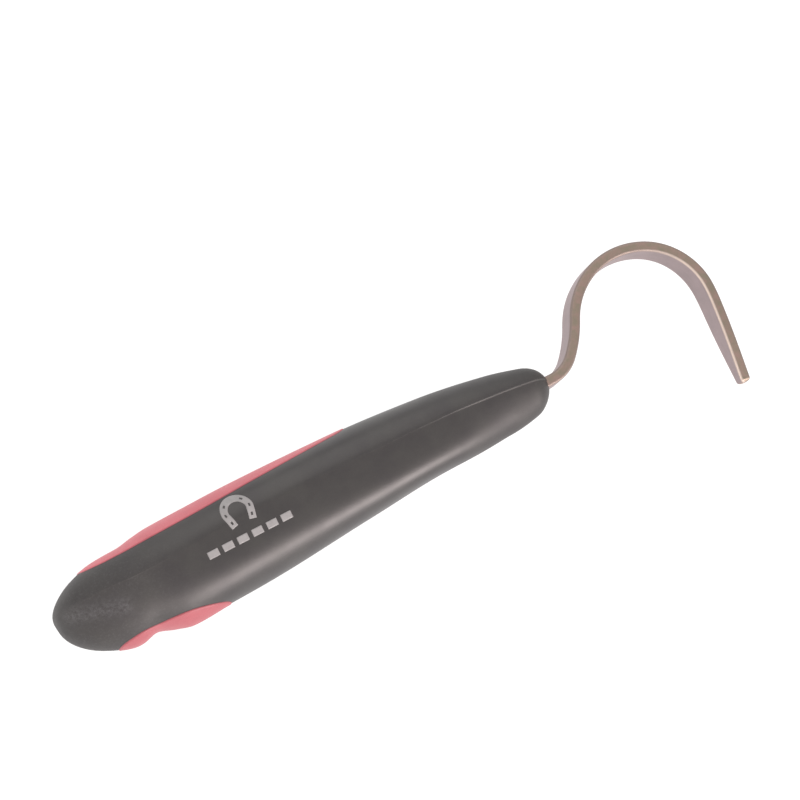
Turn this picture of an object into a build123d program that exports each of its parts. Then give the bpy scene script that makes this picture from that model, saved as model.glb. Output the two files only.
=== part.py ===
"""Hand hoof pick: a bent strip of steel moulded into a soft-grip handle.

The tool lies on its side. +X runs along the handle towards the hook, +Y lies in the plane of the hook's
bends and points away from the hook's tip, and +Z is the normal of that plane. The drawing's own zero is where
the strip leaves the handle's nose, halfway through the strip. The finished nodes are moved so that the origin
is at the bottom centre of the whole tool's bounding box. All lengths are millimetres.
"""
from build123d import *
import math
import os

# The handle's outline. Each row gives, at a distance along the handle from the nose, how far the spine stands
# above the strip's axis, how far the belly hangs below it, half the width, the heights of the parting line
# and of the soft ridge below it, and how sharp that ridge is.
HANDLE_LENGTH = 142.0
STATIONS = [
    # x, spine, belly, half width, parting line, ridge, sharpness
    (-142.0, 10.0, 9.1, 11.0, 4.5, -4.0, 5.0),
    (-135.0, 11.7, 12.9, 11.2, 4.3, -5.2, 5.0),
    (-128.0, 12.4, 14.5, 11.4, 4.0, -6.3, 5.2),
    (-121.0, 12.5, 10.5, 11.6, 3.5, -7.2, 5.5),
    (-116.5, 13.2, 12.6, 11.7, 3.5, -7.6, 6.0),
    (-112.0, 13.75, 14.45, 11.8, 3.6, -8.0, 6.5),
    (-102.0, 14.0, 13.15, 11.75, 4.1, -8.1, 7.5),
    (-90.0, 14.2, 12.65, 11.6, 4.6, -7.6, 8.5),
    (-60.0, 13.7, 10.05, 10.2, 4.2, -6.7, 9.0),
    (-35.0, 12.0, 8.4, 9.0, 3.7, -6.4, 8.0),
    (-15.0, 9.05, 9.2, 8.4, 2.4, -6.2, 4.2),
    (0.0, 5.1, 6.05, 7.8, 0.6, -3.3, 3.8),
]
BUTT_ROUND = 22.1  # length of the rounded butt
BUTT_BLUNTNESS = 2.65  # exponent of its superellipse
BUTT_TIP_HEIGHT = 2.9
NOSE_ROUND = 6.3
NOSE_BLUNTNESS = 1.74
SPINE_NOSE_BLUNTNESS = 2.5  # the upper half ends more squarely

# How the form is lofted: points in a section, and the places of the sections. The butt's and the nose's
# sections are shares of their rounded lengths.
SECTION_POINTS = 32
BUTT_END = -141.92  # the flat that closes the butt, just inside its tip
NOSE_END = -0.25
BUTT_SECTIONS = (0.02, 0.065, 0.15, 0.28, 0.45, 0.66, 0.85)
BODY_SECTIONS = (-121.0, -116.5, -112.0, -102.0, -90.0, -75.0, -60.0, -47.0, -35.0, -25.0, -15.0, -10.0)
NOSE_SECTIONS = (1.0, 0.6, 0.32, 0.14)
SECTION_GAP = 0.3  # least distance of a section from an end flat

# The handle's cross-section below the parting line: a side face, a soft ridge, a slanted facet and the belly.
SIDE_DRAFT = 9.0  # degrees
FACET_SLOPE = 52.0  # degrees from the side to the facet's normal

# The handle's layers
GRIP_WALL = 3.0  # charcoal overmould over the rigid core
CORE_BUTT_GAP = 5.0  # overmould behind the core's end
CORE_NOSE_GAP = 8.0  # overmould ahead of the core
PAD_DEPTH = 2.0  # coral pads, set into pockets
PAD_BUTT_GAP = 3.5  # overmould left behind the top pad's pocket
PAD_PROUD = 0.2
# The pads' lower and upper borders in the side view, from the butt's end forwards
TOP_PAD_EDGE = [
    (-133.5, 14.0),
    (-131.0, 10.9),
    (-125.0, 10.3),
    (-105.0, 10.6),
    (-80.0, 11.7),
    (-55.0, 12.9),
]
FINGER_PAD_EDGE = [
    (-134.0, -10.6),
    (-130.5, -8.9),
    (-124.5, -8.5),
    (-115.0, -9.2),
    (-104.0, -11.3),
    (-98.0, -13.3),
]

# The steel strip
STRIP_THICKNESS = 2.9
STRIP_WIDTH = 7.2
TIP_WIDTH = 2.8
FLARE = [(20.4, 7.2), (3.0, 8.2), (-6.0, 7.65)]  # height above the axis and width, on the way down to the tip
TANG_LENGTH = 62.0
TANG_HOLES = (-52.0, -34.0)
TANG_HOLE_RADIUS = 1.6
EXIT_STRAIGHT = 0.7
# Bends from the handle outwards: centreline radius and turn in degrees, with + towards the hook's back
LOWER_BENDS = [(11.1, 42.5), (35.0, 15.6)]
NECK_STRAIGHT = 1.6
UPPER_BENDS = [(22.2, -82.4), (17.95, -68.8), (58.0, -5.1)]
TIP_STRAIGHT = 22.15

# The printed mark: a plain horseshoe over a row of dashes
PRINT_THICKNESS = 0.15
SHOE_CENTRE = (-92.3, 6.2)
SHOE_RADIUS = 3.3
SHOE_WIDTH = 1.9
SHOE_LEG = 3.4
SHOE_TOE_IN = 0.8  # how far the legs close in
NAIL_HEIGHTS = (2.3, 0.0, -2.2)  # of the slots down each side, from the shoe's centre
NAIL_SLOT = (0.5, 0.8)
DASH_ROW = (-104.0, -80.5)  # ends of the row
DASH_HEIGHT = 1.8
DASH_MIDDLE = -0.4
DASHES = 6
DASH_GAP = 1.2

REACH = 200.0  # longer than the whole tool, for cutting shapes


def profile(x, column):
    """One column of STATIONS at x, by a monotone cubic through the stations."""
    xs = [row[0] for row in STATIONS]
    ys = [row[column] for row in STATIONS]
    slopes = [(ys[i + 1] - ys[i]) / (xs[i + 1] - xs[i]) for i in range(len(xs) - 1)]

    def tangent(i):
        if i == 0 or i == len(xs) - 1:
            return slopes[min(i, len(slopes) - 1)]
        before, after = slopes[i - 1], slopes[i]
        return 0.0 if before * after <= 0 else 2 * before * after / (before + after)

    i = max(k for k in range(len(xs) - 1) if xs[k] <= x or k == 0)
    span = xs[i + 1] - xs[i]
    t = (x - xs[i]) / span
    return (
        (2 * t**3 - 3 * t**2 + 1) * ys[i]
        + (t**3 - 2 * t**2 + t) * span * tangent(i)
        + (3 * t**2 - 2 * t**3) * ys[i + 1]
        + (t**3 - t**2) * span * tangent(i + 1)
    )


def superellipse(share, bluntness):
    return (1 - max(0.0, share) ** bluntness) ** (1 / bluntness)


def rounding(x):
    """How much of the full section is left at x: where the butt rounds off, where the nose does, and where
    the spine does over the nose."""
    butt = (BUTT_ROUND - HANDLE_LENGTH - x) / BUTT_ROUND
    nose = (x + NOSE_ROUND) / NOSE_ROUND
    return (
        superellipse(butt, BUTT_BLUNTNESS),
        superellipse(nose, NOSE_BLUNTNESS),
        superellipse(nose, SPINE_NOSE_BLUNTNESS),
    )


def section_radius(angle, above, below, half_width, ridge_drop, sharpness):
    """Distance from the parting line's height on the mid-plane to the surface, at an angle up from +Z."""
    across, up = abs(math.cos(angle)), math.sin(angle)
    if up >= 0:
        return 1 / math.hypot(across / half_width, up / above)
    down = -up
    draft, slope = math.radians(SIDE_DRAFT), math.radians(FACET_SLOPE)
    ridge_out = half_width - ridge_drop * math.tan(draft)
    facet = ridge_out * math.cos(slope) + ridge_drop * math.sin(slope)
    planes = [
        (across * math.cos(draft) + down * math.sin(draft)) / (half_width * math.cos(draft)),
        (across * math.cos(slope) + down * math.sin(slope)) / facet,
        max(0.0, down * math.sin(slope) - across * math.cos(slope)) / facet,
        down / below,
    ]
    return sum(plane**sharpness for plane in planes) ** (-1 / sharpness)


def section(x, inset=0.0):
    """The handle's closed cross-section at x, as a face in the YZ plane, inset all round."""
    butt, nose, spine_nose = rounding(x)
    spine = profile(x, 1) * butt * spine_nose
    belly, half_width, seam, ridge = (profile(x, column) * butt * nose for column in (2, 3, 4, 5))
    sizes = (spine - seam, belly + seam, half_width, seam - ridge, profile(x, 6))
    middle = seam + BUTT_TIP_HEIGHT * (1 - butt)
    points = []
    for i in range(SECTION_POINTS):
        angle = 2 * math.pi * i / SECTION_POINTS
        radius = section_radius(angle, *sizes) - inset
        points.append(Vector(x, middle + radius * math.sin(angle), radius * math.cos(angle)))
    turns = [i / SECTION_POINTS for i in range(SECTION_POINTS + 1)]
    return Face(Wire([Edge.make_spline(points, periodic=True, parameters=turns)]))


def handle_form(inset=0.0, butt=BUTT_END, nose=NOSE_END):
    """The handle's form, inset all round, from one flat end to the other."""
    butt_steps = [-HANDLE_LENGTH + BUTT_ROUND * share for share in BUTT_SECTIONS]
    nose_steps = [-NOSE_ROUND * share for share in NOSE_SECTIONS]
    steps = [*butt_steps, *BODY_SECTIONS, *nose_steps]
    inside = [x for x in steps if butt + SECTION_GAP < x < nose - SECTION_GAP]
    return loft([section(x, inset) for x in [butt, *inside, nose]])


def side_region(edge, far_height):
    """Everything beyond an edge drawn in the side view, out to far_height, across the whole width."""
    curve = Spline(*[(x, y) for x, y in edge])
    first, last = edge[0], edge[-1]
    outline = curve + Polyline((last[0], last[1]), (last[0], far_height), (first[0], far_height), first)
    return extrude(make_face(outline.edges()), amount=REACH, both=True)


def strip_centreline():
    """The strip's centreline in the side view, from the tang's end to the hook's tip."""
    pieces = [Line((-TANG_LENGTH, 0), (EXIT_STRAIGHT, 0))]
    for radius, turn in LOWER_BENDS:
        pieces.append(JernArc(pieces[-1] @ 1, pieces[-1] % 1, radius, turn))
    pieces.append(Line(pieces[-1] @ 1, (pieces[-1] @ 1) + (pieces[-1] % 1) * NECK_STRAIGHT))
    for radius, turn in UPPER_BENDS:
        pieces.append(JernArc(pieces[-1] @ 1, pieces[-1] % 1, radius, turn))
    pieces.append(Line(pieces[-1] @ 1, (pieces[-1] @ 1) + (pieces[-1] % 1) * TIP_STRAIGHT))
    return pieces


def strip_widths(arch_top, tip):
    """A solid that cuts the strip to its width: parallel to the arch's top, then flared and tapered."""
    parallel = Pos(arch_top.X - REACH, 0, 0) * Box(2 * REACH, 2 * REACH, STRIP_WIDTH)
    flare = Spline(*[(height, width / 2) for height, width in FLARE])
    low = tip.Y - STRIP_THICKNESS
    half_tip, half_strip = TIP_WIDTH / 2, STRIP_WIDTH / 2
    rest = Polyline(flare @ 1, (low, half_tip), (low, 0), (REACH, 0), (REACH, half_strip), flare @ 0)
    half = make_face((flare + rest).edges())
    outline = half + mirror(half, about=Plane.XZ)
    return parallel + extrude(Plane.YZ.offset(arch_top.X) * outline, amount=REACH)


def make_hook():
    """The steel strip: a tang with two holes, the neck, the arch and the tapered pick."""
    pieces = strip_centreline()
    band = trace(Curve() + pieces, STRIP_THICKNESS)
    arch = max((pieces[4] @ (i / 200) for i in range(201)), key=lambda point: point.Y)
    strip = extrude(band, amount=STRIP_WIDTH, both=True) & strip_widths(arch, pieces[-1] @ 1)
    for x in TANG_HOLES:
        strip -= Pos(x, 0, 0) * Rot(90, 0, 0) * Cylinder(TANG_HOLE_RADIUS, 4 * STRIP_THICKNESS)
    return strip


def nail_slot(side, height):
    """A slot along the middle of the horseshoe's band, on one side, at a height from its centre."""
    if height > 0:
        out = math.sqrt(SHOE_RADIUS**2 - height**2)
        tilt = math.atan2(height, out)
    else:
        out = SHOE_RADIUS + SHOE_TOE_IN * height / SHOE_LEG
        tilt = -math.atan2(SHOE_TOE_IN, SHOE_LEG)
    x, y = SHOE_CENTRE
    return Pos(x + side * out, y + height) * Rot(0, 0, side * math.degrees(tilt)) * Rectangle(*NAIL_SLOT)


def mark_outline():
    """The printed mark in the side view: a horseshoe, open downwards, over a row of dashes."""
    x, y = SHOE_CENTRE
    arch = ThreePointArc((x - SHOE_RADIUS, y), (x, y + SHOE_RADIUS), (x + SHOE_RADIUS, y))
    heel = SHOE_RADIUS - SHOE_TOE_IN
    legs = [Line((x + side * SHOE_RADIUS, y), (x + side * heel, y - SHOE_LEG)) for side in (-1, 1)]
    shoe = trace(Curve() + [arch, *legs], SHOE_WIDTH)
    for height in NAIL_HEIGHTS:
        shoe -= [nail_slot(-1, height), nail_slot(1, height)]
    pitch = (DASH_ROW[1] - DASH_ROW[0] + DASH_GAP) / DASHES
    middles = [DASH_ROW[0] + pitch * (i + 0.5) - DASH_GAP / 2 for i in range(DASHES)]
    dashes = [Pos(middle, DASH_MIDDLE) * Rectangle(pitch - DASH_GAP, DASH_HEIGHT) for middle in middles]
    return shoe, dashes


def make_handle(hook):
    """The rigid core, the overmould, the two pads and the print, cut so that they meet face to face."""
    form = handle_form()
    core_form = handle_form(GRIP_WALL, -HANDLE_LENGTH + CORE_BUTT_GAP, -CORE_NOSE_GAP)
    pad_skin = handle_form(-PAD_PROUD) - handle_form(PAD_DEPTH, -HANDLE_LENGTH + PAD_BUTT_GAP, -CORE_NOSE_GAP)
    top_pad = pad_skin & side_region(TOP_PAD_EDGE, REACH)
    finger_pad = pad_skin & side_region(FINGER_PAD_EDGE, -REACH)
    grip_body = form - core_form - hook - top_pad - finger_pad
    core = core_form - hook
    print_skin = handle_form(-PRINT_THICKNESS) - form
    shoe, dashes = mark_outline()
    marks = [print_skin & extrude(outline, amount=REACH) for outline in (shoe, *dashes)]
    return {
        "handle_core": core,
        "grip_body": grip_body,
        "top_pad": top_pad,
        "finger_pad": finger_pad,
        "printed_mark": Compound([solid for mark in marks for solid in mark.solids()]),
    }


hook = make_hook()
nodes = {"hook": hook, **make_handle(hook)}
box = Compound([solid for node in nodes.values() for solid in node.solids()]).bounding_box()
to_origin = Pos(-box.center().X, -box.center().Y, -box.min.Z)
os.makedirs("parts", exist_ok=True)
for name, node in nodes.items():
    export_step(to_origin * node, f"parts/{name}.step")
    print(name, "solids", len(node.solids()), "volume", round(sum(s.volume for s in node.solids()), 1))
print("moved by", to_origin.position, "size", box.size)
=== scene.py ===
"""The looks of a hand hoof pick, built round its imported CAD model.

Shapes are worked out in drawing millimetres, with the CAD model's own outline. Zero is where the strip
leaves the handle's nose; x runs towards the hook, y up to the spine, and z to the near side, which faces up.
place() puts them in metres, where the CAD model's boxes say.
"""
import math

import bmesh
import bpy
import numpy as np
from mathutils import Matrix, Vector


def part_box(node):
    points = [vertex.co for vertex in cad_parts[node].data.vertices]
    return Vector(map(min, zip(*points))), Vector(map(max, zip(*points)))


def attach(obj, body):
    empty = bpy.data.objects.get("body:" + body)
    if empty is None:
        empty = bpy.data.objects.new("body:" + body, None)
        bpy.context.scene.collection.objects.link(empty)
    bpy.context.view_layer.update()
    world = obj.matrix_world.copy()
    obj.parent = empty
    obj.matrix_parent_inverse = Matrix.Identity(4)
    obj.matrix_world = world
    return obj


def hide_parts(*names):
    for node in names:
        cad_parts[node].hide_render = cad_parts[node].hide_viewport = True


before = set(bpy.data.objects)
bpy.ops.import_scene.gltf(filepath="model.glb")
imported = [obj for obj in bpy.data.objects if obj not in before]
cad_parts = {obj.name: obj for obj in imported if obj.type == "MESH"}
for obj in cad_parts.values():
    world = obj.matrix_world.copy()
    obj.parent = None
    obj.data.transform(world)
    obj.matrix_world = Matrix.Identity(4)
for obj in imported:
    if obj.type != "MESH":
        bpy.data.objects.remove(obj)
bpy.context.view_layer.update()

MM = 0.001

# ---------------------------------------------------------------- the CAD model's driving dimensions, in mm

HANDLE_LENGTH = 142.0
STATIONS = np.array([
    # x, spine, belly, half width, parting line, ridge, sharpness
    (-142.0, 10.0, 9.1, 11.0, 4.5, -4.0, 5.0),
    (-135.0, 11.7, 12.9, 11.2, 4.3, -5.2, 5.0),
    (-128.0, 12.4, 14.5, 11.4, 4.0, -6.3, 5.2),
    (-121.0, 12.5, 10.5, 11.6, 3.5, -7.2, 5.5),
    (-116.5, 13.2, 12.6, 11.7, 3.5, -7.6, 6.0),
    (-112.0, 13.75, 14.45, 11.8, 3.6, -8.0, 6.5),
    (-102.0, 14.0, 13.15, 11.75, 4.1, -8.1, 7.5),
    (-90.0, 14.2, 12.65, 11.6, 4.6, -7.6, 8.5),
    (-60.0, 13.7, 10.05, 10.2, 4.2, -6.7, 9.0),
    (-35.0, 12.0, 8.4, 9.0, 3.7, -6.4, 8.0),
    (-15.0, 9.05, 9.2, 8.4, 2.4, -6.2, 4.2),
    (0.0, 5.1, 6.05, 7.8, 0.6, -3.3, 3.8),
])
BUTT_ROUND = 22.1
BUTT_BLUNTNESS = 2.65
BUTT_TIP_HEIGHT = 2.9
BUTT_PRESSED = -141.5  # from here back, the butt is pressed in a little, to end at BUTT_END
BUTT_END = -141.92
NOSE_ROUND = 6.3
NOSE_BLUNTNESS = 1.74
SPINE_NOSE_BLUNTNESS = 2.5
SIDE_DRAFT = math.radians(9)
FACET_SLOPE = math.radians(52)
GRIP_WALL = 3.0
CORE_BUTT_GAP = 5.0
CORE_NOSE_GAP = 8.0
PAD_DEPTH = 2.0
PAD_PROUD = 0.2
# The pads' borders on the near side, as x and height
TOP_PAD_EDGE = [
    (-133.5, 14.0),
    (-131.0, 10.9),
    (-125.0, 10.3),
    (-105.0, 10.6),
    (-80.0, 11.7),
    (-55.0, 12.9),
]
FINGER_PAD_EDGE = [
    (-134.0, -10.6),
    (-130.5, -8.9),
    (-124.5, -8.5),
    (-115.0, -9.2),
    (-104.0, -11.3),
    (-98.0, -13.3),
]

STRIP_THICKNESS = 2.9
STRIP_WIDTH = 7.2
TIP_WIDTH = 2.8
FLARE = [(20.4, 7.2), (3.0, 8.2), (-6.0, 7.65)]  # height and width down the hook's outer leg
TANG_LENGTH = 62.0
# Runs of the centreline from the nose outwards: length of a straight, or a bend's radius and turn in degrees
STRIP_RUNS = [0.7, (11.1, 42.5), (35.0, 15.6), 1.6, (22.2, -82.4), (17.95, -68.8), (58.0, -5.1), 22.15]

SHOE_CENTRE = (-92.3, 6.2)
SHOE_RADIUS = 3.3
SHOE_WIDTH = 1.9
SHOE_LEG = 3.4
SHOE_TOE_IN = 0.8
NAIL_HEIGHTS = (2.3, 0.0, -2.2)
NAIL_SLOT = (0.5, 0.8)  # across the shoe and along it
DASH_ROW = (-104.0, -80.5)
DASH_HEIGHT = 1.8
DASH_MIDDLE = -0.4
DASHES = 6
DASH_GAP = 1.2

# ---------------------------------------------------------------- what only the looks need, in mm

RING_SPACING = 0.8
RING_SPACING_LEAST = 0.006
RING_TURN = 0.035  # radians that a pad's border may turn by from one ring to the next
LIP_ROUND = 0.10  # edge of the charcoal beside a pad
PAD_ROUND = 0.45  # edge of a pad
PAD_CLOSE = 4.0  # length over which the top pad's front end rounds off
PAD_END_BLUNTNESS = 2.6
POCKET_FADE = 0.8  # half width below which a pocket gets shallow
NO_WIDTH = 1e-4  # a pad narrower than this isn't there
CAVITY_GRID = (120, 96)  # rings of the core's cavity, and points round each
FLASH_HEIGHT = 0.16  # the parting line's ridge, at full strength
FLASH_WIDTH = 0.16
SEAM_SINK = 0.14  # how far the lower half lies below the parting line, at full strength
SEAM_SINK_WIDTH = 1.6
SEAM_STRENGTH = [(-142, 0), (-95, 0), (-60, 0.06), (-45, 0.1), (-30, 0.25), (-18, 0.9), (-2, 1), (0, 0.8)]
PATH_STEP = 0.3
STRIP_ROUND = 0.65  # long edges of the steel strip
ROUND_SHARE = 0.9  # of the half width or half thickness, the most that a rounded edge takes
TIP_ROUND = 0.95  # edges of the tip's end
TIP_ROUND_SHARES = (0, 0.05, 0.14, 0.28, 0.48, 0.72, 1)  # of TIP_ROUND, where the tip's last rings are
PAINTED_HIGHLIGHT_RUN = (50.0, 64.0)  # from the nose: where the painted highlight on the inner edges begins, and where it is full
PRINT_LIFT = 0.05
SHOE_CELLS = (96, 6)  # along the printed film and across it
DASH_CELLS = (12, 6)
MERGE_DISTANCE = 2e-4
DEGENERATE_LENGTH = 1e-4
BUTT_MARKS = (-128.0, -104.0)  # where the butt's pale specks and added roughness are full, and where they end
NOSE_WEAR = (-40.0, -14.0)  # where the nose's duller skin starts, and where it is full
PALE_STREAK = [(-139.2, 2.4, 6.7), (-133.2, 0.4, 9.1), (-127.2, -1.5, 9.8)]  # a pale streak on the near side, towards the butt
PALE_STREAK_WIDTH = 2.3


def smooth(x, xs, ys):
    """A monotone cubic through the points (xs, ys), at every x."""
    x, xs, ys = (np.asarray(values, float) for values in (x, xs, ys))
    slopes = np.diff(ys) / np.diff(xs)
    same_way = slopes[:-1] * slopes[1:] > 0
    total = np.where(same_way, slopes[:-1] + slopes[1:], 1.0)
    inner = np.where(same_way, 2 * slopes[:-1] * slopes[1:] / total, 0.0)
    tangents = np.concatenate([slopes[:1], inner, slopes[-1:]])
    i = np.clip(np.searchsorted(xs, x, side="right") - 1, 0, len(xs) - 2)
    span = xs[i + 1] - xs[i]
    t = (x - xs[i]) / span
    return (
        (2 * t**3 - 3 * t**2 + 1) * ys[i]
        + (t**3 - 2 * t**2 + t) * span * tangents[i]
        + (3 * t**2 - 2 * t**3) * ys[i + 1]
        + (t**3 - t**2) * span * tangents[i + 1]
    )


def superellipse(share, bluntness):
    """A rounded end's size, from 1 where it starts to nearly 0 at its tip."""
    return np.maximum((1 - np.clip(share, 0, 1) ** bluntness) ** (1 / bluntness), 1e-6)


def rounding(x):
    """How much of the full section is left at x: at the butt, at the nose, and of the spine at the nose."""
    butt = (BUTT_ROUND - HANDLE_LENGTH - x) / BUTT_ROUND
    nose = (x + NOSE_ROUND) / NOSE_ROUND
    return (
        superellipse(butt, BUTT_BLUNTNESS),
        superellipse(nose, NOSE_BLUNTNESS),
        superellipse(nose, SPINE_NOSE_BLUNTNESS),
    )


class Section:
    """The sizes of the handle's cross-sections at an array of places."""

    def __init__(self, x):
        butt, nose, spine_nose = rounding(x)
        self.spine = smooth(x, STATIONS[:, 0], STATIONS[:, 1]) * butt * spine_nose
        self.belly, self.half_width, self.seam, self.ridge = (
            smooth(x, STATIONS[:, 0], STATIONS[:, k]) * butt * nose for k in (2, 3, 4, 5)
        )
        self.sharpness = smooth(x, STATIONS[:, 0], STATIONS[:, 6])
        self.middle = self.seam + BUTT_TIP_HEIGHT * (1 - butt)
        self.above = self.spine - self.seam
        self.below = self.belly + self.seam
        self.ridge_drop = self.seam - self.ridge

    def radius(self, angle):
        """Distance from the parting line's height on the mid-plane to the surface, at an angle up from +Z."""
        across, up = np.abs(np.cos(angle)), np.sin(angle)
        upper = 1 / np.hypot(across / self.half_width, up / self.above)
        down = np.maximum(-up, 0)
        ridge_out = self.half_width - self.ridge_drop * math.tan(SIDE_DRAFT)
        slope_across, slope_down = math.cos(FACET_SLOPE), math.sin(FACET_SLOPE)
        facet = ridge_out * slope_across + self.ridge_drop * slope_down
        side = across * math.cos(SIDE_DRAFT) + down * math.sin(SIDE_DRAFT)
        planes = [
            side / (self.half_width * math.cos(SIDE_DRAFT)),
            (across * slope_across + down * slope_down) / facet,
            np.maximum(0, down * slope_down - across * slope_across) / facet,
            down / self.below,
        ]
        lower = sum(plane**self.sharpness for plane in planes) ** (-1 / self.sharpness)
        return np.where(up >= 0, upper, lower)


def surface(x, angle, lift=0.0):
    """Points of the handle's surface, lifted off it, at x and angle, arrays of one shape.

    Angles past 90 degrees are on the far side.
    """
    here = Section(x)
    radius = here.radius(angle) + lift
    beyond = (x - BUTT_PRESSED) * (BUTT_PRESSED - BUTT_END) / (BUTT_PRESSED + HANDLE_LENGTH)
    pressed = np.where(x < BUTT_PRESSED, BUTT_PRESSED + beyond, x)
    return np.stack([pressed, here.middle + radius * np.sin(angle), radius * np.cos(angle)], -1)


def angle_at_height(x, height):
    """The near side's angle where the section at x reaches a height, or plus or minus 90 degrees."""
    table = np.linspace(-math.pi / 2, math.pi / 2, 721)  # every quarter of a degree
    found = np.empty(len(x))
    for i, (here, level) in enumerate(zip(x, height)):
        heights = surface(np.full(len(table), here), table)[:, 1]
        found[i] = np.interp(level, heights, table)
    return found


# ---------------------------------------------------------------- meshes

strip_low, strip_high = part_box("hook")


def turned(direction, degrees):
    angle = math.radians(degrees)
    return np.array([
        direction[0] * math.cos(angle) - direction[1] * math.sin(angle),
        direction[0] * math.sin(angle) + direction[1] * math.cos(angle),
    ])


def along_run(run, here, direction, share):
    """The point and the direction at a share of a run that starts here."""
    if not isinstance(run, tuple):
        return here + direction * run * share, direction
    radius, turn = run
    side = math.copysign(1, turn)
    centre = here + side * radius * turned(direction, 90)
    heading = turned(direction, turn * share)
    return centre - side * radius * turned(heading, 90), heading


def strip_path():
    """The strip's centreline in the plane of its bends: points, directions and distances from the nose."""
    points, directions, distances = [], [], []
    here, direction, done = np.array([-TANG_LENGTH, 0.0]), np.array([1.0, 0.0]), -TANG_LENGTH

    for run in [TANG_LENGTH, *STRIP_RUNS]:
        length = math.radians(abs(run[1])) * run[0] if isinstance(run, tuple) else run
        count = max(2, round(length / PATH_STEP))
        for k in range(count):
            share = k / count
            point, heading = along_run(run, here, direction, share)
            points.append(point)
            directions.append(heading)
            distances.append(done + length * share)
        here, direction = along_run(run, here, direction, 1)
        done += length
    return np.array(points + [here]), np.array(directions + [direction]), np.array(distances + [done])


path_points, path_directions, path_distances = strip_path()
outer_line = path_points + STRIP_THICKNESS / 2 * np.array([[-d[1], d[0]] for d in path_directions])
# The drawing's zero in the frame, from the box of the CAD strip: its tang's end, its arch's top, its middle
ZERO = np.array([
    strip_low.x / MM + TANG_LENGTH,
    strip_high.y / MM - outer_line[:, 1].max(),
    (strip_low.z + strip_high.z) / 2 / MM,
])


def place(points):
    """Drawing millimetres to frame metres."""
    return (np.asarray(points) + ZERO) * MM


def grid_faces(rows, columns, start=0, flip=False):
    """Quads over a tube of vertices: rows of rings that each close on themselves."""
    faces = []
    for i in range(rows - 1):
        for j in range(columns):
            k = (j + 1) % columns
            row, next_row = start + i * columns, start + (i + 1) * columns
            quad = (row + j, row + k, next_row + k, next_row + j)
            faces.append(quad[::-1] if flip else quad)
    return faces


def make_piece(name, points, faces, material, node, attributes=()):
    """A mesh piece that rides on the body and stands for one CAD node. Points are drawing millimetres."""
    mesh = bpy.data.meshes.new(name)
    mesh.from_pydata(place(points).tolist(), [], faces)
    for key, values in attributes:
        layer = mesh.attributes.new(key, "FLOAT_VECTOR", "POINT")
        layer.data.foreach_set("vector", np.asarray(values, np.float32).ravel())
    work = bmesh.new()
    work.from_mesh(mesh)
    bmesh.ops.remove_doubles(work, verts=work.verts, dist=MERGE_DISTANCE * MM)
    bmesh.ops.dissolve_degenerate(work, edges=work.edges, dist=DEGENERATE_LENGTH * MM)
    bmesh.ops.delete(work, geom=[vert for vert in work.verts if not vert.link_faces], context="VERTS")
    bmesh.ops.recalc_face_normals(work, faces=work.faces)
    work.to_mesh(mesh)
    work.free()
    mesh.shade_smooth()
    mesh.materials.append(material)
    piece = bpy.data.objects.new(name, mesh)
    bpy.context.scene.collection.objects.link(piece)
    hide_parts(node)
    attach(piece, "root")


# ---------------------------------------------------------------- where the pads' edges run

def top_pad_angle(x):
    """The near border of the top pad at each x; 90 degrees where there is no pad."""
    xs, ys = zip(*TOP_PAD_EDGE)
    start, end = xs[0], xs[-1]
    inside = (x > start) & (x < end)
    clipped = np.clip(x, start, end)
    angle = angle_at_height(clipped, smooth(clipped, xs, ys))
    near_end = np.clip((x - (end - PAD_CLOSE)) / PAD_CLOSE, 0, 1)
    closing = (1 - near_end**PAD_END_BLUNTNESS) ** (1 / PAD_END_BLUNTNESS)
    angle = math.pi / 2 - (math.pi / 2 - angle) * closing
    return np.where(inside, angle, math.pi / 2)


def finger_pad_angle(x):
    """The near border of the finger pad at each x; minus 90 degrees where there is no pad."""
    xs, ys = zip(*FINGER_PAD_EDGE)
    clipped = np.clip(x, xs[0], xs[-1])
    angle = angle_at_height(clipped, smooth(clipped, xs, ys))
    return np.where((x > xs[0]) & (x < xs[-1]), angle, -math.pi / 2)


def stations():
    """The places of the rings, close together round the ends and where a pad's border turns."""
    shares = np.linspace(0, 0.9, 19)
    butt = -(HANDLE_LENGTH - BUTT_ROUND) - BUTT_ROUND * (1 - shares**BUTT_BLUNTNESS) ** (1 / BUTT_BLUNTNESS)
    nose = -NOSE_ROUND + NOSE_ROUND * (1 - shares**NOSE_BLUNTNESS) ** (1 / NOSE_BLUNTNESS)
    middle = np.arange(butt[-1] + 0.7, nose[-1] - 0.5, RING_SPACING)  # clear of both ends' last rings
    x = np.unique(np.concatenate([butt, middle, nose]).round(5))
    for _ in range(8):
        jump = np.abs(np.diff(top_pad_angle(x))) + np.abs(np.diff(finger_pad_angle(x)))
        split = (jump > RING_TURN) & (np.diff(x) > RING_SPACING_LEAST)
        x = np.sort(np.concatenate([x, (x[:-1] + x[1:])[split] / 2]))
    return x


def border_distance(x, points, border):
    """Each point's distance from its ring's border point, squared to the border's own slope."""
    steps = np.linalg.norm(np.diff(points, axis=1), axis=-1)
    along = np.concatenate([np.zeros((len(x), 1)), np.cumsum(steps, axis=1)], axis=1)
    slope = np.gradient(border, x)
    return along / np.sqrt(1 + slope**2)[:, None]


def quarter_round(distance, radius):
    """How far a rounded edge lies below its face, at a distance in from its side."""
    inward = np.clip(radius - distance, 0, radius)
    return radius - np.sqrt(radius**2 - inward**2)


RING_X = stations()
TOP_ANGLE = top_pad_angle(RING_X)
FINGER_ANGLE = finger_pad_angle(RING_X)


def fan(start, end, shares):
    """Angles between two columns of angles, one row for each ring."""
    return start[:, None] + (end - start)[:, None] * shares[None, :]


def rings(angles):
    return np.broadcast_to(RING_X[:, None], angles.shape)


def arc_positions(angles):
    """How far round the ring a border lies, for its slope: radius times angle."""
    return angles * Section(RING_X).radius(angles)


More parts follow.
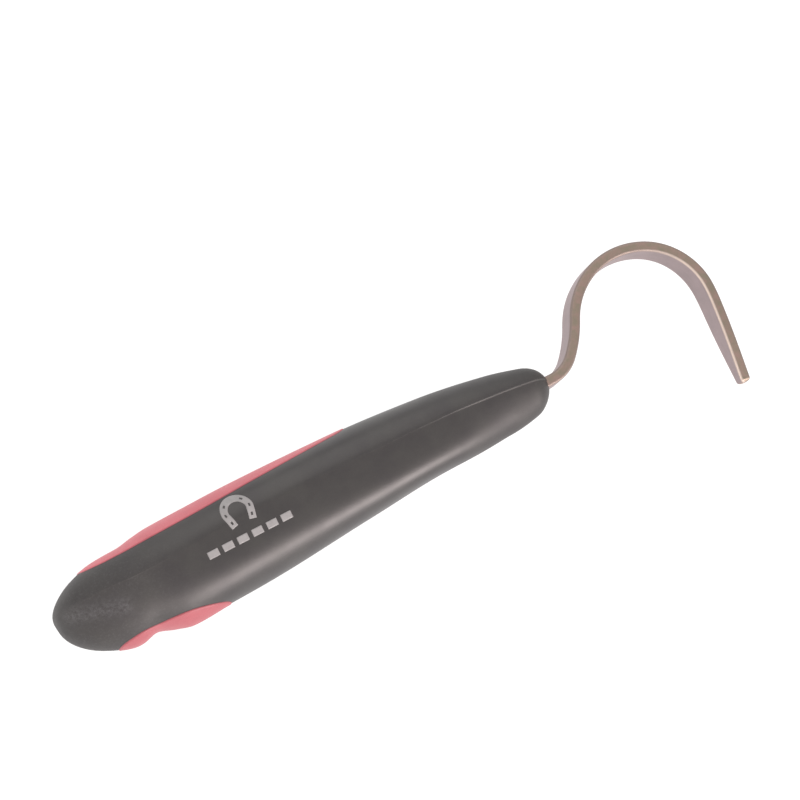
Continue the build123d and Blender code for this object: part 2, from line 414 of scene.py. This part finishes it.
EDGE_CLOSE = np.linspace(0, 1, 25) ** 2  # from a border inwards, close together at first
PAD_SHARES = np.linspace(0, 1, 31) ** 2
SEAM_STEPS = np.array([0.04, 0.09, 0.15, 0.22, 0.31, 0.43, 0.6, 0.85, 1.2])


def pad_widths():
    """The top and finger pads' half widths round each ring, for the depth of their pockets."""
    here = Section(RING_X)
    return (math.pi / 2 - TOP_ANGLE) * here.above, (FINGER_ANGLE + math.pi / 2) * here.below


def pocket_depth(width):
    return PAD_DEPTH * (1 - np.exp(-width / POCKET_FADE))


def side_angles():
    """Columns over the charcoal's near side, from the finger pad's border to the top pad's."""
    butt, nose, _ = rounding(RING_X)
    seam_angle = SEAM_STEPS * (butt * nose / np.maximum(Section(RING_X).half_width, 1.0))[:, None]
    seam_low, seam_high = -seam_angle[:, ::-1], seam_angle
    low_shares = (1 - (1 - np.linspace(0, 1, 33)) ** 1.3) ** 1.5  # close together at both ends
    lower = fan(FINGER_ANGLE, seam_low[:, 0], low_shares)[:, :-1]
    upper = fan(TOP_ANGLE, seam_high[:, -1], EDGE_CLOSE)[:, ::-1][:, 1:]
    return np.concatenate([lower, seam_low, np.zeros((len(RING_X), 1)), seam_high, upper], axis=1)


def seam_relief(angles):
    """The parting line: a ridge of flash, with the lower half sunk a little below it towards the nose."""
    half_width = Section(RING_X).half_width[:, None]
    distance = angles * half_width
    strength = smooth(RING_X, *zip(*SEAM_STRENGTH))[:, None]
    ridge = FLASH_HEIGHT * np.exp(-((distance / FLASH_WIDTH) ** 2))
    sunk = SEAM_SINK * np.exp(-((np.minimum(distance, 0) / SEAM_SINK_WIDTH) ** 2)) * (distance < 0)
    return strength * (ridge - sunk)


def both_sides(angles, lifts):
    """The near half's columns and their mirror image, as one closed ring of points."""
    near = surface(rings(angles), angles, lifts)
    far = near[:, 1:-1][:, ::-1] * np.array([1, 1, -1])
    return np.concatenate([near, far], axis=1)


def marks_at(points):
    """How much each point takes the butt's pale specks and added roughness, the pale streak on its near side,
    and the nose's added roughness.
    """
    worn = smooth(np.clip(points[:, 0], *BUTT_MARKS), BUTT_MARKS, (1, 0))
    dull = smooth(np.clip(points[:, 0], *NOSE_WEAR), NOSE_WEAR, (0, 1))
    nearest = np.full(len(points), np.inf)
    scuff = np.array(PALE_STREAK)
    for start, run in zip(scuff[:-1], np.diff(scuff, axis=0)):
        share = np.clip((points - start) @ run / (run @ run), 0, 1)
        nearest = np.minimum(nearest, np.linalg.norm(points - start - share[:, None] * run, axis=1))
    return np.stack([worn, np.exp(-((nearest / PALE_STREAK_WIDTH) ** 2)), dull], -1)


def make_grip_body(material):
    """The charcoal overmould: its outside with the parting line and the pockets, and the core's cavity."""
    top_width, finger_width = pad_widths()
    top_depth, finger_depth = pocket_depth(top_width), pocket_depth(finger_width)
    side = side_angles()
    side_points = surface(rings(side), side)
    from_finger = border_distance(RING_X, side_points, arc_positions(FINGER_ANGLE))
    from_top = border_distance(RING_X, side_points[:, ::-1], arc_positions(TOP_ANGLE))[:, ::-1]
    lip = np.where(finger_width[:, None] > NO_WIDTH, quarter_round(from_finger, LIP_ROUND), 0)
    lip = lip + np.where(top_width[:, None] > NO_WIDTH, quarter_round(from_top, LIP_ROUND), 0)
    finger_floor = fan(FINGER_ANGLE, np.full(len(RING_X), -math.pi / 2), PAD_SHARES)[:, ::-1]
    top_floor = fan(TOP_ANGLE, np.full(len(RING_X), math.pi / 2), PAD_SHARES)
    angles = np.concatenate([finger_floor, side, top_floor], axis=1)
    lifts = np.concatenate([
        np.broadcast_to(-finger_depth[:, None], finger_floor.shape),
        seam_relief(side) - lip,
        np.broadcast_to(-top_depth[:, None], top_floor.shape),
    ], axis=1)
    outside = both_sides(angles, lifts)
    rows, columns = outside.shape[:2]
    faces = grid_faces(rows, columns)

    core_rings, core_columns = CAVITY_GRID
    core_x = np.linspace(-HANDLE_LENGTH + CORE_BUTT_GAP, -CORE_NOSE_GAP, core_rings)
    around = np.linspace(0, 2 * math.pi, core_columns, endpoint=False)
    cavity = surface(*np.meshgrid(core_x, around, indexing="ij"), -GRIP_WALL)
    first = rows * columns
    last = first + (core_rings - 1) * core_columns
    faces += grid_faces(core_rings, core_columns, first, flip=True)
    faces.append(tuple(range(first, first + core_columns)))
    faces.append(tuple(range(last + core_columns - 1, last - 1, -1)))
    points = np.concatenate([outside.reshape(-1, 3), cavity.reshape(-1, 3)])
    attributes = [("marks", marks_at(points))]
    make_piece("soft_grip", points, faces, material, "grip_body", attributes)


def make_pad(name, material, node, border, middle, width):
    """A soft insert: its crowned face with rounded borders, its sides, and its back on the pocket's floor."""
    used = np.flatnonzero(width > NO_WIDTH)
    used = np.arange(max(used[0] - 1, 0), min(used[-1] + 2, len(RING_X)))
    angles = fan(border, np.full(len(RING_X), middle), PAD_SHARES)
    points = surface(rings(angles), angles)
    distance = border_distance(RING_X, points, arc_positions(border))
    face_lift = PAD_PROUD - quarter_round(distance, PAD_ROUND)
    face_lift = np.where(width[:, None] > NO_WIDTH, face_lift, PAD_PROUD - PAD_ROUND)
    back_lift = np.broadcast_to(-pocket_depth(width)[:, None], angles.shape)
    face_near = surface(rings(angles), angles, face_lift)
    back_near = surface(rings(angles), angles, back_lift)
    mirror = np.array([1, 1, -1])
    ring = np.concatenate([
        face_near,
        face_near[:, :-1][:, ::-1] * mirror,
        back_near * mirror,
        back_near[:, :-1][:, ::-1],
    ], axis=1)[used]
    rows, columns = ring.shape[:2]
    faces = grid_faces(rows, columns)
    make_piece(name, ring.reshape(-1, 3), faces, material, node)


# ---------------------------------------------------------------- the steel strip

def strip_half_width():
    """Half the strip's width along its centreline: even to the arch's top, then by height down the leg."""
    heights, widths = zip(*FLARE[::-1])
    low = path_points[-1][1] - STRIP_THICKNESS
    heights = [low, *heights]
    widths = [TIP_WIDTH, *widths]
    on_outer_leg = smooth(np.clip(path_points[:, 1], low, heights[-1]), heights, widths)
    arch_top_x = path_points[np.argmax(path_points[:, 1]), 0]
    return np.where(path_points[:, 0] > arch_top_x, on_outer_leg, STRIP_WIDTH) / 2


def make_hook(material):
    """The bent strip with rounded long edges, from the hidden tang to the blunt tip."""
    round_steps = np.linspace(0, math.pi / 2, 6)
    flat_across, flat_thick = 10, 4
    corners = [(1, 1), (-1, 1), (-1, -1), (1, -1)]  # sides across and through the strip, in order round it
    half_widths = strip_half_width()
    end_setbacks = TIP_ROUND * np.array(TIP_ROUND_SHARES)  # back from the tip's face
    points, coordinates, edges = [], [], []

    def ring(centre, direction, half_width, shrink, distance):
        """One ring of points, with each point's place on the strip and how near it is to an edge."""
        half_w, half_t = half_width - shrink, STRIP_THICKNESS / 2 - shrink
        radius = min(STRIP_ROUND, ROUND_SHARE * half_t, ROUND_SHARE * half_w)
        normal = np.array([-direction[1], direction[0]])

        def round_corner(corner, angle):
            side_w, side_t = corners[corner % 4]
            return (
                side_w * (half_w - radius) + radius * math.cos(angle),
                side_t * (half_t - radius) + radius * math.sin(angle),
            )

        outline = []
        for corner in range(4):
            start = corner * math.pi / 2
            for step in round_steps:
                outline.append((*round_corner(corner, start + step), math.sin(2 * step)))
            w_start, t_start, _ = outline[-1]
            w_end, t_end = round_corner(corner + 1, start + math.pi / 2)
            count = flat_across if corner % 2 == 0 else flat_thick
            for k in range(1, count):
                share = k / count
                w = w_start + (w_end - w_start) * share
                t = t_start + (t_end - t_start) * share
                outline.append((w, t, 0.0))

        # How far down the outer leg the inner edges take the painted highlight.
        on_leg = (distance - PAINTED_HIGHLIGHT_RUN[0]) / (PAINTED_HIGHLIGHT_RUN[1] - PAINTED_HIGHLIGHT_RUN[0])
        for w, t, edge in outline:
            points.append((centre[0] + normal[0] * t, centre[1] + normal[1] * t, w))
            coordinates.append((distance * MM, w * MM, t * MM))
            edges.append((edge, edge * min(max(on_leg, 0.0), 1.0) * (t < 0), 0))
        return len(outline)

    tip, tip_direction, tip_distance = path_points[-1], path_directions[-1], path_distances[-1]
    full = path_distances < tip_distance - end_setbacks[-1] - 0.05
    for centre, direction, half_width, distance in zip(
        path_points[full], path_directions[full], half_widths[full], path_distances[full]
    ):
        columns = ring(centre, direction, half_width, 0.0, distance)
    for setback in end_setbacks[::-1]:
        shrink = float(quarter_round(setback, end_setbacks[-1]))
        centre = tip - tip_direction * setback
        ring(centre, tip_direction, half_widths[full][-1], shrink, tip_distance - setback)
    rows = len(points) // columns
    faces = grid_faces(rows, columns)
    faces.append(tuple(range(columns - 1, -1, -1)))
    faces.append(tuple(range((rows - 1) * columns, rows * columns)))
    attributes = [("strip", coordinates), ("edge", edges)]
    make_piece("steel_hook", points, faces, material, "hook", attributes)


# ---------------------------------------------------------------- the printed mark

def shoe_grid():
    """The horseshoe as rows of (x, y) along its centreline, and which cells of that grid are inked."""
    leg = math.hypot(SHOE_TOE_IN, SHOE_LEG)
    length = 2 * leg + math.pi * SHOE_RADIUS
    height = np.array(NAIL_HEIGHTS)
    nails = np.where(
        height > 0,
        leg + SHOE_RADIUS * np.arcsin(np.clip(height / SHOE_RADIUS, 0, 1)),
        leg * (1 + height / SHOE_LEG),
    )
    nails = np.concatenate([nails, length - nails])
    slot_across, slot_along = NAIL_SLOT
    even_along = np.linspace(0, length, SHOE_CELLS[0] + 1)
    even_across = np.linspace(-SHOE_WIDTH / 2, SHOE_WIDTH / 2, SHOE_CELLS[1] + 1)
    along = np.unique(np.concatenate([even_along, nails - slot_along / 2, nails + slot_along / 2]).round(4))
    across = np.unique(np.concatenate([even_across, [-slot_across / 2, slot_across / 2]]).round(4))

    on_leg = np.minimum(along, length - along) / leg
    turn = np.clip((along - leg) / SHOE_RADIUS, 0, math.pi)
    side = np.where(along < length / 2, -1, 1)
    x = np.where(on_leg < 1, side * (SHOE_RADIUS - SHOE_TOE_IN * (1 - on_leg)), -SHOE_RADIUS * np.cos(turn))
    y = np.where(on_leg < 1, -SHOE_LEG * (1 - on_leg), SHOE_RADIUS * np.sin(turn))
    line = np.stack([x, y], -1) + SHOE_CENTRE
    heading = np.gradient(line, along, axis=0)
    normal = np.stack([-heading[:, 1], heading[:, 0]], -1) / np.linalg.norm(heading, axis=1)[:, None]
    grid = line[:, None, :] + normal[:, None, :] * across[None, :, None]

    mid_along, mid_across = (along[1:] + along[:-1]) / 2, (across[1:] + across[:-1]) / 2
    beside_nail = np.abs(mid_along[:, None] - nails).min(axis=1) < slot_along / 2
    return grid, ~(beside_nail[:, None] & (np.abs(mid_across) < slot_across / 2)[None, :])


def make_mark(material):
    """The printed mark: a plain horseshoe over a row of dashes, a thin film on the near side."""
    points, faces = [], []

    def film(grid, kept):
        """Both sides of the kept cells, and a wall wherever a kept cell has no kept neighbour."""
        rows, columns = grid.shape[:2]
        x, y = grid[..., 0].ravel(), grid[..., 1].ravel()
        angle = angle_at_height(x, y)
        upper = sum(len(block) for block in points)
        lower = upper + rows * columns
        points.extend([surface(x, angle, PRINT_LIFT), surface(x, angle, -PRINT_LIFT)])
        padded = np.pad(kept, 1)
        for i, j in np.argwhere(kept):
            a, b = i * columns + j, (i + 1) * columns + j
            corners = [a, a + 1, b + 1, b]
            faces.append(tuple(upper + k for k in corners))
            faces.append(tuple(lower + k for k in corners[::-1]))
            neighbours = [padded[i, j + 1], padded[i + 1, j + 2], padded[i + 2, j + 1], padded[i + 1, j]]
            for k, has_neighbour in enumerate(neighbours):
                if not has_neighbour:
                    p, q = corners[k], corners[(k + 1) % 4]
                    faces.append((upper + q, upper + p, lower + p, lower + q))

    film(*shoe_grid())
    pitch = (DASH_ROW[1] - DASH_ROW[0] + DASH_GAP) / DASHES
    for i in range(DASHES):
        left = DASH_ROW[0] + pitch * i
        x, y = np.meshgrid(
            np.linspace(left, left + pitch - DASH_GAP, DASH_CELLS[0] + 1),
            np.linspace(DASH_MIDDLE - DASH_HEIGHT / 2, DASH_MIDDLE + DASH_HEIGHT / 2, DASH_CELLS[1] + 1),
            indexing="ij",
        )
        film(np.stack([x, y], -1), np.ones(DASH_CELLS, bool))
    make_piece("printed_mark", np.concatenate(points), faces, material, "printed_mark")


# ---------------------------------------------------------------- materials

# Linear colours. A pair is the darkest and the lightest of a finish's mottling.
CHARCOAL = [(0.033, 0.029, 0.0295), (0.043, 0.0395, 0.0375)]
# The colour of the pale specks and streak on the charcoal, towards the butt.
CHARCOAL_PALE_MARKS = (0.12, 0.115, 0.12)
CORAL = [(0.56, 0.125, 0.15), (0.62, 0.145, 0.172)]
FINGER_CORAL_PAINTED_SHADE = 0.72  # painted shade: the finger pad faces the front light, so its coral is darkened to this share
CORE_BLACK = [(0.03, 0.03, 0.031), (0.045, 0.044, 0.045)]
INK = [(0.31, 0.296, 0.296), (0.365, 0.35, 0.35)]
STEEL_ROLLED = [(0.33, 0.27, 0.272), (0.41, 0.335, 0.34)]
# The narrow sides' steel colour, warmed by painted warm light from above.
STEEL_SIDE_WARM_LIGHT = [(0.33, 0.28, 0.22), (0.40, 0.29, 0.25)]
# Painted shade on the rounded long edges, to dim their reflections.
STEEL_PAINTED_EDGE_SHADE = (0.30, 0.245, 0.21)
# A painted highlight along the inner edges of the outer leg.
STEEL_PAINTED_HIGHLIGHT = (0.78, 0.66, 0.58)
SIDE_OF_STRIP = (0.8, 1.25)  # mm from its middle, where the strip's narrow side, with its painted warm light, turns into its rolled face


def add(tree, kind, inputs=None, **settings):
    """A node with its settings and inputs; an input is a value or another node's output."""
    node = tree.nodes.new(kind)
    for key, value in settings.items():
        setattr(node, key, value)
    for key, value in (inputs or {}).items():
        socket = node.inputs[key]
        if isinstance(value, bpy.types.NodeSocket):
            tree.links.new(value, socket)
        else:
            socket.default_value = value
    return node


def noise(tree, where, size, detail=3.0, roughness=0.55, distortion=0.0):
    """Noise with features of a size in mm; where is a coordinate in metres."""
    return add(tree, "ShaderNodeTexNoise", {
        "Vector": where, "Scale": 1 / (size * MM), "Detail": detail, "Roughness": roughness,
        "Distortion": distortion,
    }).outputs["Fac"]


def remap(tree, value, low, high, from_low=0.25, from_high=0.75):
    """A value from one range, which is most of a noise's unless it is given, to another."""
    return add(tree, "ShaderNodeMapRange", {
        "Value": value, "From Min": from_low, "From Max": from_high, "To Min": low, "To Max": high,
    }).outputs["Result"]


def math_node(tree, operation, first, second=0.0):
    return add(tree, "ShaderNodeMath", {0: first, 1: second}, operation=operation).outputs[0]


def mix_colour(tree, factor, first, second, blend="MIX"):
    """Two colours mixed; each is a triple or another node's output. Sockets 6 and 7 are for colours."""
    first, second = ((*value, 1) if isinstance(value, tuple) else value for value in (first, second))
    node = add(tree, "ShaderNodeMix", {0: factor, 6: first, 7: second}, data_type="RGBA", blend_type=blend)
    return node.outputs[2]


def attribute(tree, name):
    """A vector that the mesh holds at its points."""
    return add(tree, "ShaderNodeAttribute", attribute_name=name).outputs["Vector"]


def parts(tree, vector):
    return add(tree, "ShaderNodeSeparateXYZ", {"Vector": vector}).outputs


def new_material(name):
    material = bpy.data.materials.new(name)
    material.use_nodes = True
    tree = material.node_tree
    shader = tree.nodes["Principled BSDF"]
    where = add(tree, "ShaderNodeTexCoord").outputs["Object"]
    return material, tree, shader, where


def bump(tree, height, distance, strength=1.0, normal=None):
    """A bump of a depth in mm, over another one if that is given."""
    inputs = {"Height": height, "Distance": distance * MM, "Strength": strength}
    if normal is not None:
        inputs["Normal"] = normal
    return add(tree, "ShaderNodeBump", inputs).outputs["Normal"]


def soft_touch(name, mottling, roughness, grain=0.012, pale_marks=None):
    """A moulded soft-touch plastic: mottled colour, a fine spark-eroded grain and handling shine.

    If pale_marks is given, it is the colour that the pale specks towards the butt and the pale streak on the
    near side take, as the mesh's marks attribute says.
    """
    material, tree, shader, where = new_material(name)
    cloudy = noise(tree, where, 9.0, 4.0, 0.6)
    fine = noise(tree, where, 0.35, 2.0, 0.5)
    worn = noise(tree, where, 22.0, 5.0, 0.65, 0.4)
    colour = mix_colour(tree, remap(tree, cloudy, 0, 1, 0.36, 0.64), *mottling)
    speck = remap(tree, fine, 0.93, 1.07)
    grey = add(tree, "ShaderNodeCombineColor", {"Red": speck, "Green": speck, "Blue": speck}).outputs["Color"]
    colour = mix_colour(tree, 1.0, colour, grey, "MULTIPLY")
    rough = remap(tree, worn, roughness - 0.06, roughness + 0.07)
    if pale_marks:
        # Pale specks towards the butt and a pale streak on the near side, mixed towards the pale colour.
        butt, along_streak, nose = parts(tree, attribute(tree, "marks"))
        patches = remap(tree, noise(tree, where, 1.0, 6.0, 0.8), 0, 0.85, 0.38, 0.72)
        speckle = remap(tree, noise(tree, where, 0.6, 3.0, 0.7), 0, 0.26, 0.5, 0.75)
        streak = math_node(tree, "MULTIPLY", along_streak, patches)
        butt_specks = math_node(tree, "MULTIPLY", butt, speckle)
        colour = mix_colour(tree, math_node(tree, "MAXIMUM", streak, butt_specks), colour, pale_marks)
        rough = math_node(tree, "ADD", rough, math_node(tree, "MULTIPLY", butt, 0.2))
        rough = math_node(tree, "ADD", rough, math_node(tree, "MULTIPLY", nose, 0.16))
    tree.links.new(colour, shader.inputs["Base Color"])
    tree.links.new(rough, shader.inputs["Roughness"])
    skin = bump(tree, fine, grain, 0.6)
    tree.links.new(bump(tree, cloudy, 0.05, 0.25, skin), shader.inputs["Normal"])
    shader.inputs["Specular IOR Level"].default_value = 0.64
    return material


def coral(name, share=1.0):
    """The inserts' soft coral; share darkens it, as painted shade."""
    mottling = [tuple(part * share for part in colour) for colour in CORAL]
    return soft_touch(name, mottling, roughness=0.48, grain=0.008)


def print_ink():
    """Pale ink, thinned where hands rub it."""
    material, tree, shader, where = new_material("pale_ink")
    ink_rubbing_and_edge_highlight = noise(tree, where, 2.2, 5.0, 0.7)
    fine = noise(tree, where, 0.3, 2.0)
    colour = mix_colour(tree, remap(tree, ink_rubbing_and_edge_highlight, 0, 1, 0.3, 0.7), *INK)
    tree.links.new(colour, shader.inputs["Base Color"])
    tree.links.new(remap(tree, fine, 0.4, 0.55), shader.inputs["Roughness"])
    tree.links.new(bump(tree, fine, 0.01, 0.5), shader.inputs["Normal"])
    return material


def satin_steel():
    """Tumbled, warm-tinted steel: fine lines along the strip, soft blotches and small pits, with painted
    shade on the rounded edges, a painted highlight on the inner edges down the outer leg, and painted warm
    light on the narrow sides.
    """
    material, tree, shader, where = new_material("satin_steel")
    strip = attribute(tree, "strip")
    edge, ink_rubbing_and_edge_highlight, _ = parts(tree, attribute(tree, "edge"))
    stretch = {0: strip, 1: (0.06, 1, 1)}
    stretched = add(tree, "ShaderNodeVectorMath", stretch, operation="MULTIPLY").outputs[0]
    lines = noise(tree, stretched, 0.22, 3.0, 0.6)
    blotch = noise(tree, where, 4.5, 4.0, 0.6)
    pits = noise(tree, where, 0.5, 2.0, 0.5)
    tint = noise(tree, where, 2.6, 4.0, 0.65, 0.5)

    rolled = mix_colour(tree, remap(tree, blotch, 0, 1), *STEEL_ROLLED)
    # The narrow sides carry a painted warm light from above.
    side_warm_light = mix_colour(tree, remap(tree, tint, 0, 1, 0.38, 0.62), *STEEL_SIDE_WARM_LIGHT)
    through = math_node(tree, "ABSOLUTE", parts(tree, strip)["Z"])
    on_rolled = remap(tree, through, 0, 1, SIDE_OF_STRIP[0] * MM, SIDE_OF_STRIP[1] * MM)
    face = mix_colour(tree, on_rolled, side_warm_light, rolled)
    # Painted shade on the rounded edges.
    edge_shaded_face = mix_colour(tree, math_node(tree, "MULTIPLY", edge, 0.8), face, STEEL_PAINTED_EDGE_SHADE)
    # The painted highlight on the inner edges down the outer leg.
    tree.links.new(mix_colour(tree, ink_rubbing_and_edge_highlight, edge_shaded_face, STEEL_PAINTED_HIGHLIGHT), shader.inputs["Base Color"])
    shader.inputs["Metallic"].default_value = 1.0
    rough = math_node(tree, "ADD", remap(tree, blotch, 0.47, 0.57), remap(tree, lines, -0.04, 0.06))
    rough = math_node(tree, "ADD", rough, math_node(tree, "MULTIPLY", edge, 0.1))
    tree.links.new(rough, shader.inputs["Roughness"])
    skin = bump(tree, pits, 0.02, 0.35)
    tree.links.new(bump(tree, lines, 0.012, 0.5, skin), shader.inputs["Normal"])
    return material


# ---------------------------------------------------------------- the object

top_pad_width, finger_pad_width = pad_widths()
top_coral = coral("coral_soft_touch")
# The finger pad's coral is darkened as painted shade, for the front light that it faces.
finger_coral_painted_shade = coral("coral_finger_painted_shade", FINGER_CORAL_PAINTED_SHADE)
make_grip_body(soft_touch("charcoal_soft_touch", CHARCOAL, roughness=0.38, pale_marks=CHARCOAL_PALE_MARKS))
make_pad("top_pad_soft", top_coral, "top_pad", TOP_ANGLE, math.pi / 2, top_pad_width)
make_pad("finger_pad_soft", finger_coral_painted_shade, "finger_pad", FINGER_ANGLE, -math.pi / 2, finger_pad_width)
make_hook(satin_steel())
make_mark(print_ink())
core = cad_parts["handle_core"]
core.data.materials.clear()
core.data.materials.append(soft_touch("core_plastic", CORE_BLACK, roughness=0.55))

# ---------------------------------------------------------------- floor, light and camera: metres, degrees

AIM = Vector((0.00585, 0.01407, ZERO[2] * MM))  # what the camera and the lights point at
FLOOR_SIZE = 6.0
FLOOR_GLOW = 0.84
WORLD_STRENGTH = 0.6
# name, azimuth from +X towards +Y, elevation from the floor, distance, sides, power in watts, colour
SOFT_BOXES = [
    ("key_box", -69, 28.5, 1.1, (0.5, 0.4), 7.6, (1.0, 0.88, 0.86)),
    ("front_box", -75, 12, 1.2, (1.3, 0.35), 4.5, (1.0, 0.92, 0.9)),
    ("back_box", 75, 40, 1.2, (1.6, 1.1), 5.4, (1.0, 0.95, 0.93)),
    ("butt_box", 176, 27, 1.1, (0.35, 0.35), 3.0, (1.0, 0.93, 0.9)),
]
CAMERA_LENS = 102.21  # mm
CAMERA_SENSOR = 36.0  # mm
CAMERA_AT = Vector((-0.19664, -0.05433, 0.54881))
CAMERA_ROLL = 29.634  # from the level view with +Y up


def make_floor():
    """A plain pale floor that glows, so that it stays even under the soft boxes."""
    mesh = bpy.data.meshes.new("studio_floor")
    half = FLOOR_SIZE / 2
    corners = [(-half, -half, 0), (half, -half, 0), (half, half, 0), (-half, half, 0)]
    mesh.from_pydata(corners, [], [(0, 1, 2, 3)])
    floor = bpy.data.objects.new("studio_floor", mesh)
    bpy.context.scene.collection.objects.link(floor)
    material, _, shader, _ = new_material("studio_floor")
    shader.inputs["Base Color"].default_value = (0.3, 0.3, 0.3, 1)
    shader.inputs["Roughness"].default_value = 0.9
    shader.inputs["Specular IOR Level"].default_value = 0.1
    shader.inputs["Emission Color"].default_value = (1, 1, 1, 1)
    shader.inputs["Emission Strength"].default_value = FLOOR_GLOW
    mesh.materials.append(material)


def soft_box(name, azimuth, elevation, distance, size, power, colour):
    """An area light that faces the aim point, placed by its direction from there."""
    data = bpy.data.lights.new(name, "AREA")
    data.shape = "RECTANGLE"
    data.size, data.size_y = size
    data.energy = power
    data.color = colour
    light = bpy.data.objects.new(name, data)
    bpy.context.scene.collection.objects.link(light)
    azimuth, elevation = math.radians(azimuth), math.radians(elevation)
    flat = math.cos(elevation)
    direction = Vector((flat * math.cos(azimuth), flat * math.sin(azimuth), math.sin(elevation)))
    light.location = AIM + direction * distance
    light.rotation_euler = direction.to_track_quat("Z", "Y").to_euler()


def make_world():
    """An even white sky."""
    world = bpy.data.worlds.new("studio")
    world.use_nodes = True
    background = world.node_tree.nodes["Background"]
    background.inputs["Color"].default_value = (1.0, 1.0, 1.0, 1)
    background.inputs["Strength"].default_value = WORLD_STRENGTH
    bpy.context.scene.world = world
    bpy.context.scene.view_settings.view_transform = "Standard"


def make_camera():
    data = bpy.data.cameras.new("camera")
    data.lens = CAMERA_LENS
    data.sensor_width = CAMERA_SENSOR
    data.clip_start = 0.01
    data.clip_end = 20.0
    camera = bpy.data.objects.new("camera", data)
    bpy.context.scene.collection.objects.link(camera)
    backward = (CAMERA_AT - AIM).normalized()
    up = (Vector((0, 1, 0)) - backward * backward.y).normalized()
    right = up.cross(backward)
    level = Matrix((right, up, backward)).transposed()
    roll = Matrix.Rotation(-math.radians(CAMERA_ROLL), 4, "Z")
    camera.matrix_world = Matrix.Translation(CAMERA_AT) @ level.to_4x4() @ roll
    bpy.context.scene.camera = camera


make_floor()
for box in SOFT_BOXES:
    soft_box(*box)
make_world()
make_camera()
